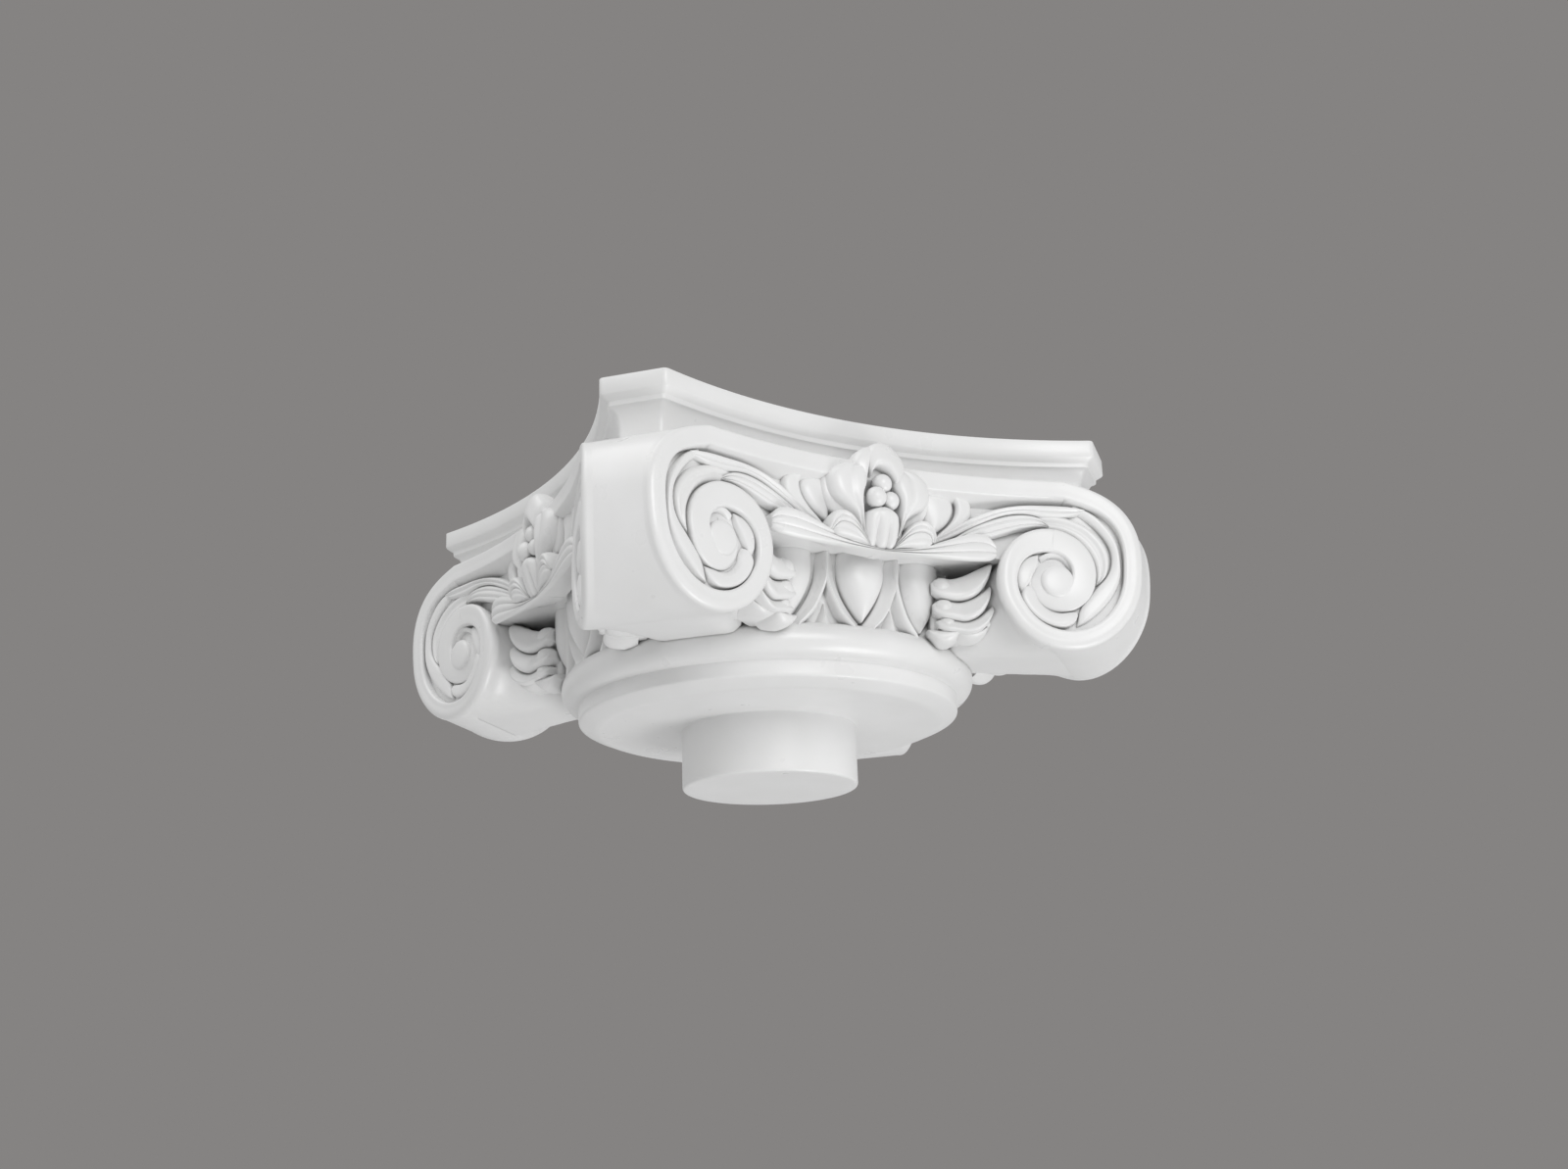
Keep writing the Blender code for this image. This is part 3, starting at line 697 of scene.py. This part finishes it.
# %% Long leaves from the flower out to the volute, and the leaf under them
long_upper = leaf("long_upper", [(20, 97), (29, 102.5), (39, 108), (48, 113.8), (57, 118.2),
                                 (67, 121.2), (78, 122.8), (90, 123.2), (101, 123.0), (110, 121.6)],
                  [(20, 95), (29, 99), (39, 103.5), (48, 108), (57, 112.4), (67, 116.4), (77, 117.8),
                   (88, 116.4), (100, 116.8), (110, 119.6)],
                  [-6.0, -5.2, -4.4, -3.4, -2.2, -1.2, -0.6, -0.6, -1.4], thick=5.0, flutes=2,
                  groove=1.3, lean=1.6, rows=56)
long_lower = leaf("long_lower", [(34, 101), (42, 105), (50, 110), (60, 114.6), (70, 117.6), (79, 118.2),
                                 (86, 116.6), (91, 112.6)],
                  [(34, 98), (42, 100), (50, 102.6), (59, 104.6), (68, 107.2), (76, 109.8), (84, 111.2),
                   (91, 111.6)],
                  [-6.5, -5.0, -3.6, -2.4, -1.6, -1.4, -2.4], thick=4.5, flutes=3, groove=1.2, rows=48)
low_leaf = leaf("low_leaf", [(-2, 92), (8, 93.4), (18, 95.2), (29, 98.6), (41, 103), (50, 105.4),
                             (57.5, 105), (62, 101)],
                [(-2, 91), (8, 90.9), (18, 90.8), (29, 90.7), (41, 90.8), (50, 91.2), (57.5, 92.2),
                 (62, 94.5)],
                [1.0, 1.4, 1.6, 1.8, 1.6, 0.6, -1.5], thick=2.8, flutes=3, groove=1.2,
                root=12.0, root_from=0.45, rows=48, columns=34)
back_leaf = leaf("back_leaf", [(28, 99), (37, 104), (44.8, 108.4), (49.6, 113.2), (51.8, 118.6),
                               (50.6, 124.2), (45, 127.8), (37, 128.4)],
                 [(28, 100), (33.5, 106), (38.5, 110.6), (42, 115.4), (43.2, 120.4), (41.8, 124.2),
                  (38.6, 126.6), (36, 127.6)],
                 [-5.0, -5.0, -4.6, -4.4, -4.4, -4.6, -5.6], thick=4.2, lean=-1.5, rows=40)
back_lobe = leaf("back_lobe", [(24, 127.5), (33, 128.2), (40.6, 125.6), (42.4, 119.4), (39.6, 112.6),
                               (34.4, 107.4), (28, 103.4)],
                 [(20, 125), (22, 121), (24, 117), (25.4, 113), (26, 109.6), (26.4, 106.6),
                  (27, 103.6)],
                 [-5.5, -4.2, -3.8, -3.6, -3.8, -5.0], thick=5.0, bow=2.0, rows=36)
leaves = all_faces("leaves", [long_upper, long_lower, low_leaf, back_leaf, back_lobe])

# %% [markdown]
# ## Palmettes
#
# Beside the eggs a palmette closes the gap between the cushion of the neck and the volute.
# Its fingers grow from round roots and hang like feathers, each over the next, and two lobes
# end it below. Each is one more leaf, laid on a slanting wall and leaning down, with a ball
# sunk in its root. A leaning leaf is enough here, because each finger covers the upper edge of
# the one below it.

# %% Fingers of the palmette
def ball(name, place, radius):
    bpy.ops.object.select_all(action="DESELECT")
    bpy.ops.mesh.primitive_uv_sphere_add(segments=28, ring_count=16, radius=MM * radius, location=place)
    made = bpy.context.object
    made.name = made.data.name = name
    bpy.ops.object.transform_apply(location=True, rotation=True, scale=True)
    return made


wings = [([(-3.5, 86.6), (1, 89.2), (7, 88.6), (13, 89.8), (20, 92.8), (27.6, 96.6)],
          [(-3.5, 80.6), (2, 77.4), (9.6, 76.4), (15.6, 77.2), (20.8, 80.4), (25.2, 86.6),
           (27.6, 93.6)]),
         ([(-3, 75.6), (1.6, 78.2), (9.6, 76.6), (15.6, 77.6), (21.6, 80.8), (26.6, 84.8)],
          [(-3, 70.4), (2, 67.4), (8.6, 66), (13, 65.4), (18, 67), (22, 70.4), (25.2, 76),
           (26.4, 81.4)]),
         ([(-1.5, 67), (3.5, 68.4), (12, 66.6), (18, 67.6), (24, 71.6), (27.4, 74.6)],
          [(-1, 62.6), (3.6, 60.6), (9, 60), (14, 59.2), (19, 60.2), (23.8, 64), (27.4, 70.4)])]
FINGER_CREST = (2.8, 3.6, 3.4, 4.2, 4.4, 2.6)
FINGER_STEP = 0.4
fingers = [leaf(f"finger_{i}", upper, lower, [proud - FINGER_STEP * i for proud in FINGER_CREST],
                thick=8.0, bow=4.0, lean=-5.0, wall=on_palmette, rows=44, columns=26)
           for i, (upper, lower) in enumerate(wings)]
print("fingers", len(fingers))

# %% Lobes below, round roots and the wall behind
fingers += [leaf("lobe_near", [(-6, 63), (-1, 63), (5, 63), (9.6, 62.6)],
                 [(-5.4, 59.6), (-1, 55), (3.5, 54), (7.2, 56), (9.4, 59.2)],
                 [0.8, 1.8, 2.0, 1.0], thick=10.0, bow=2.2, wall=on_palmette, rows=32),
            leaf("lobe_far", [(7, 63.4), (13, 63), (20, 63), (25, 65)],
                 [(7.6, 60), (11.6, 57.4), (16, 56.6), (20.6, 58.2), (24.4, 62)],
                 [-0.6, 0.6, 0.4, -1.4], thick=10.0, bow=2.2, wall=on_palmette, rows=32)]
roots = ((2.0, 83.2, 5.6), (2.6, 72.6, 5.3), (4.0, 64.4, 4.4))
fingers += [ball(f"root_{i}", on_palmette(across, height, -1.2), radius)
            for i, (across, height, radius) in enumerate(roots)]
fingers += [leaf("palmette_ground", [(-4, 84), (8, 86), (18, 88), (30, 91)],
                 [(-4, 58), (8, 58), (18, 61), (30, 66)], [-5.0, -5.0, -5.0, -5.0],
                 thick=14.0, bow=8.0, wall=on_palmette, rows=16)]
palmettes = all_faces("palmettes", fingers)

# %% [markdown]
# ## Eggs
#
# The echinus carries eggs that stand on their points, each in a shell. The shells of two
# neighbours grow together above and part below, where a small dart fills the gap. A sphere
# could be stretched into an egg, but the real one has a keel that sharpens towards its point,
# so each row of the egg is a half ring of its own.

# %% Egg
EGG_TOP = 98.0
EGG_TIP = 62.0
EGG_HALF_WIDTH = 12.3
EGG_TIP_PROUD = 4.6
EGG_SWELL = 9.2
EGG_BACK = -0.5
EGG_ROWS = 30
EGG_COLUMNS = 24


def egg_half(share):
    """Half width of the egg at a share of its height from the tip."""
    return EGG_HALF_WIDTH * sin(pi / 2 * min(1.0, max(share, 0.0) / 0.74)) ** 0.86


def egg(centre):
    rings = []
    for row in range(EGG_ROWS + 1):
        share = 0.015 + 0.985 * (row / EGG_ROWS) ** 1.2
        height = EGG_TIP + (EGG_TOP - EGG_TIP) * share
        half_width = egg_half(share)
        crest = EGG_TIP_PROUD + EGG_SWELL * sin(pi / 2 * min(1.0, share / 0.6)) ** 0.8
        ring = []
        for k in range(EGG_COLUMNS + 1):
            angle = radians(-90 + 180 * k / EGG_COLUMNS)
            keel = cos(angle) ** (1.15 - 0.5 * min(1.0, share / 0.6))
            proud = EGG_BACK + (crest - EGG_BACK) * keel
            ring.append(on_neck(centre + half_width * sin(angle), height, proud))
        ring += [on_neck(centre + half_width * side, height, -5.0) for side in (0.5, -0.5)]
        rings.append(ring)
    return clay("egg", rings)


print("egg", EGG_TOP - EGG_TIP, "mm tall and", 2 * EGG_HALF_WIDTH, "wide")

# %% Shell and dart
SHELL_GAP = 0.9
SHELL_WIDTH = 5.9
SHELL_PROUD = 8.2
SHELL_ROWS = 32


def shell(centre, side):
    """The cup round one side of an egg, low beside the egg and high at its outer edge."""
    rings = []
    for row in range(SHELL_ROWS + 1):
        share = 1.06 - 1.16 * row / SHELL_ROWS
        inner = egg_half(share) + SHELL_GAP
        wide = SHELL_WIDTH - 1.2 * smooth_step(1 - share / 0.25)
        crest = SHELL_PROUD + 2.2 * smooth_step(share / 0.9)
        drop = wide * 0.5 * smooth_step(1 - share / 0.5)
        height = EGG_TIP + (EGG_TOP - EGG_TIP) * share
        section = ((0.0, -3.0), (0.0, 0.36), (0.08, 0.46), (0.3, 0.55), (0.52, 0.72), (0.7, 0.92),
                   (0.84, 1.0), (0.96, 0.96), (1.06, 0.82), (1.12, 0.55), (1.14, -3.0))
        ring = []
        for across, rise in section:
            proud = crest * rise if rise > 0 else rise
            ring.append(on_neck(centre + side * (inner + wide * across), height - drop * across, proud))
        rings.append(ring)
    return clay("shell", rings)


def dart(centre):
    return leaf("dart", [(centre - 5.2, 59.5), (centre - 2.8, 64.5), (centre - 0.2, 71.5)],
                [(centre + 5.2, 59.5), (centre + 2.8, 64.5), (centre + 0.2, 71.5)],
                [6.5, 5.0, 3.0], thick=5.0, bow=1.3, wall=on_neck, rows=20, columns=16)


print("shell", SHELL_WIDTH, "mm wide")

# %% Eggs of one face, and the ring of them
EGG_PITCH = radians(21) * NECK_CORE
ring_of_eggs = []
for step in (-1, 0, 1):
    ring_of_eggs.append(egg(step * EGG_PITCH))
    ring_of_eggs += [shell(step * EGG_PITCH, side) for side in (-1, 1)]
ring_of_eggs += [dart((step + 0.5) * EGG_PITCH) for step in (-2, -1, 0, 1)]
eggs = all_faces("eggs", wholes=ring_of_eggs)

# %% [markdown]
# ## Flower
#
# At the middle of each face a flower stands over the band. Its petals are broad and cupped,
# with a soft fold, and bend back at their ends. Three round seeds sit above a fluted cup, and
# two curled leaves spread from the cup's foot. Petals could be draped as cloth, but a cast
# petal is thick and its back is never seen, so the leaf of before serves here too. The top
# petal and the seeds differ from side to side, as they do on the real flower.

# %% Places on the flower
FLOWER_ALONG = -2.0


def on_flower(along, height, proud):
    """The flower was set a little to one side of the face's middle."""
    return on_face(FLOWER_ALONG + along, height, proud)


def flipped(points):
    return [(-along, height) for along, height in points]


def both_sides(name, upper, lower, crest, **shape):
    """A leaf of the flower and its likeness on the other side."""
    return [leaf(f"{name}_right", upper, lower, crest, wall=on_flower, **shape),
            leaf(f"{name}_left", flipped(upper), flipped(lower), crest, wall=on_flower, **shape)]


print("flower", FLOWER_ALONG, "mm from the middle")

# %% Petals
petals = both_sides("petal", [(7, 94.5), (11, 98), (12, 102.5), (15, 108), (20, 111.6), (25.4, 115.4),
                              (28, 121), (28, 127), (24.4, 131.4), (18, 134.2), (11, 134)],
                    [(4, 94.5), (8, 98.5), (9.8, 104), (10.2, 110), (10.2, 115), (9.2, 119.5),
                     (7.4, 123.4), (6.8, 127), (7.2, 129.6), (7.6, 131.4), (8.4, 132.8)],
                    [0.0, 1.5, 3.0, 4.4, 5.2, 5.4, 5.0, 4.2, 3.2, 1.6], thick=9.0, flutes=2, groove=1.3,
                    bow=4.0, lean=-2.6, rows=56, columns=34)
petals += both_sides("petal_back", [(12, 103), (20, 106), (26, 110.6), (29.4, 117), (30.2, 124),
                                    (27.4, 131), (21, 136), (12, 138)],
                     [(8, 104), (9, 110), (9.5, 115), (9.5, 120), (9.5, 124), (9.5, 128), (9, 132),
                      (8, 135)],
                     [-3.0, -2.2, -1.6, -1.4, -1.8, -3.0], thick=6.0, bow=4.5, rows=44)
petals += [leaf("petal_top", [(-5.6, 128), (-7.4, 134), (-6.8, 140), (-3.4, 144.9), (1.6, 146.6),
                              (6.5, 145.4), (10.6, 141.6), (13.8, 138), (14.2, 133.4), (12.4, 128.6),
                              (9.6, 124.6)],
                [(-5, 127.6), (-4.4, 130), (-3, 131.6), (-1.4, 132.4), (0.4, 132.2), (2.4, 131.2),
                 (4.2, 129.8), (5.6, 128.2), (6.8, 126.8), (7.6, 125.4), (8, 124.4)],
                [3.0, 4.5, 5.5, 6.0, 6.0, 5.5, 4.5, 2.5], thick=9.0, bow=4.0, lean=-4.0, wall=on_flower,
                rows=56, columns=30),
           leaf("petal_top_side", [(-9, 124), (-12.6, 129), (-14.2, 134.4), (-12.2, 139), (-8, 142.8),
                                   (-4, 144.6)],
                [(-7, 124), (-7, 127), (-6.4, 130), (-5.6, 134), (-5, 138), (-3.6, 141.6)],
                [2.0, 3.4, 4.0, 4.0, 3.4, 2.0], thick=8.0, bow=3.6, lean=-2.5, wall=on_flower, rows=44)]
print("petals", len(petals))

# %% Seeds and fluted cup
seeds = [ball("seed_left", on_flower(-3.9, 116.6, 4.0), 5.2),
         ball("seed_right", on_flower(5.2, 116.6, 1.6), 4.7),
         ball("seed_top", on_flower(1.2, 124.8, 1.6), 5.0)]
cup = [leaf("cup", [(-8.6, 92.2), (-9.8, 95), (-10.3, 100), (-10.2, 105), (-8.8, 109), (-4, 112)],
            [(8.6, 92.2), (9.8, 95), (10.3, 100), (10.2, 105), (8.8, 109), (4, 112)],
            [1.6, 3.6, 5.6, 7.0, 7.4, 6.0], thick=8.0, flutes=3, groove=3.0, fade=0.85, bow=2.3,
            wall=on_flower, rows=48, columns=44)]
print("seeds", len(seeds), "over a cup", [round(1000 * v, 1) for v in cup[0].dimensions], "mm")

# %% Curled leaves at the cup's foot
curls = both_sides("curl_upper", [(5, 93), (9.5, 97.5), (13.6, 102.6), (17.8, 106.8), (22.4, 108.4),
                                  (26.8, 106.8), (29.8, 102), (29.8, 98)],
                   [(5, 92.2), (9, 94.8), (13.3, 98.4), (17.3, 100.4), (21, 101.4), (24, 101),
                    (26, 99.6), (27.4, 97.6)],
                   [1.0, 3.2, 4.6, 5.4, 5.4, 4.4, 2.6], thick=6.0, root_from=0.6, flutes=2, groove=1.6,
                   rows=44)
curls += both_sides("curl_lower", [(6, 92.5), (10, 96.4), (14, 100.4), (18, 102.6), (22, 103.2),
                                   (25.4, 102), (27.6, 98.6)],
                    [(6, 92.4), (10, 93.2), (14.5, 93.8), (19, 94.2), (23, 94.6), (26, 95.4),
                     (27.8, 96.8)],
                    [1.5, 3.2, 4.2, 4.6, 4.2, 2.4], thick=5.0, root_from=0.6, flutes=2, groove=1.0,
                    bow=2.6, lean=1.2)
flowers = all_faces("flowers", wholes=petals + seeds + cup + curls)

# %% [markdown]
# ## White foam
#
# The capital comes out of a mould and leaves the works with a satin white primer. The primer
# shows a faint orange peel, patches that are a little glossier than others, and a few pimples
# where the mould had bubbles. All three are made with noise on the object's own coordinates,
# so they stay in place on the surface. A painted image could do it too, but it would need the
# carving unwrapped. An Ambient Occlusion node finds the narrow grooves and paints them a
# little darker. This is painted shade, standing in for the light that is lost there.

# %% Primer, noise and a range to spread it over
COAT = 0.15
COAT_ROUGHNESS = 0.22
foam = bpy.data.materials.new("white foam")
foam.use_nodes = True
nodes, links = foam.node_tree.nodes, foam.node_tree.links
shader = nodes["Principled BSDF"]
shader.inputs["Coat Weight"].default_value = COAT
shader.inputs["Coat Roughness"].default_value = COAT_ROUGHNESS
where = nodes.new("ShaderNodeTexCoord")


def noise(scale, detail):
    made = nodes.new("ShaderNodeTexNoise")
    made.inputs["Scale"].default_value = scale
    made.inputs["Detail"].default_value = detail
    links.new(where.outputs["Object"], made.inputs["Vector"])
    return made.outputs["Fac"]


def between(value, low_value, high_value):
    """Spreads a noise that runs from about 0.3 to 0.7 over a range."""
    made = nodes.new("ShaderNodeMapRange")
    made.inputs["From Min"].default_value = 0.3
    made.inputs["From Max"].default_value = 0.7
    made.inputs["To Min"].default_value = low_value
    made.inputs["To Max"].default_value = high_value
    links.new(value, made.inputs["Value"])
    return made.outputs["Result"]


print("coat", COAT)

# %% Colour, with painted shade in the grooves, and gloss in patches
WHITE_LOW = (0.83, 0.83, 0.825, 1.0)
WHITE_HIGH = (0.87, 0.87, 0.87, 1.0)
# The grey of the painted shade in the grooves.
PAINTED_SHADE_GREY = (0.42, 0.42, 0.415, 1.0)
GROOVE_WIDTH = 0.0035
TINT_SCALE = 30.0
GLOSS_SCALE = 55.0
GLOSSIEST = 0.27
DULLEST = 0.38
tint = nodes.new("ShaderNodeMix")
tint.data_type = "RGBA"
tint.inputs["A"].default_value = WHITE_LOW
tint.inputs["B"].default_value = WHITE_HIGH
links.new(between(noise(TINT_SCALE, 4.0), 0.0, 1.0), tint.inputs["Factor"])
# Painted shade: where the Ambient Occlusion node finds a narrow groove, the colour is mixed towards
# grey.
grooves = nodes.new("ShaderNodeAmbientOcclusion")
grooves.samples = 8
grooves.inputs["Distance"].default_value = GROOVE_WIDTH
painted_shade_mix = nodes.new("ShaderNodeMix")
painted_shade_mix.data_type = "RGBA"
painted_shade_mix.inputs["A"].default_value = PAINTED_SHADE_GREY
links.new(tint.outputs["Result"], painted_shade_mix.inputs["B"])
open_share = nodes.new("ShaderNodeMapRange")
open_share.interpolation_type = "SMOOTHSTEP"
open_share.inputs["From Min"].default_value = 0.05
open_share.inputs["From Max"].default_value = 0.65
links.new(grooves.outputs["AO"], open_share.inputs["Value"])
links.new(open_share.outputs["Result"], painted_shade_mix.inputs["Factor"])
links.new(painted_shade_mix.outputs["Result"], shader.inputs["Base Color"])
links.new(between(noise(GLOSS_SCALE, 3.0), GLOSSIEST, DULLEST), shader.inputs["Roughness"])
print("grooves up to", 1000 * GROOVE_WIDTH, "mm wide")

# %% Orange peel and pimples
PEEL_SCALE = 700.0
PEEL_DEPTH = 0.0002
PIMPLE_SCALE = 38.0
PIMPLE_SIZE = 0.035
PIMPLE_HEIGHT = 0.0004
peel = nodes.new("ShaderNodeBump")
peel.inputs["Strength"].default_value = 0.16
peel.inputs["Distance"].default_value = PEEL_DEPTH
links.new(noise(PEEL_SCALE, 2.0), peel.inputs["Height"])
bubbles = nodes.new("ShaderNodeTexVoronoi")
bubbles.inputs["Scale"].default_value = PIMPLE_SCALE
links.new(where.outputs["Object"], bubbles.inputs["Vector"])
pimples = nodes.new("ShaderNodeMapRange")
pimples.inputs["From Min"].default_value = 0.0
pimples.inputs["From Max"].default_value = PIMPLE_SIZE
pimples.inputs["To Min"].default_value = 1.0
pimples.inputs["To Max"].default_value = 0.0
links.new(bubbles.outputs["Distance"], pimples.inputs["Value"])
raised = nodes.new("ShaderNodeBump")
raised.inputs["Strength"].default_value = 0.5
raised.inputs["Distance"].default_value = PIMPLE_HEIGHT
links.new(pimples.outputs["Result"], raised.inputs["Height"])
links.new(peel.outputs["Normal"], raised.inputs["Normal"])
links.new(raised.outputs["Normal"], shader.inputs["Normal"])
print("primer nodes", len(nodes))

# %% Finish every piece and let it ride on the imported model
SMOOTH_ANGLE = radians(42)
pieces = [turned, abacus, ground, volute_blocks, scrolls, volute_fronds, leaves, palmettes, eggs,
          flowers]
for piece in pieces:
    piece.data.materials.clear()
    piece.data.materials.append(foam)
    bpy.ops.object.select_all(action="DESELECT")
    piece.select_set(True)
    bpy.context.view_layer.objects.active = piece
    bpy.ops.object.shade_smooth_by_angle(angle=SMOOTH_ANGLE)
    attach(piece, "root")
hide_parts("capital")
print("pieces", len(pieces))
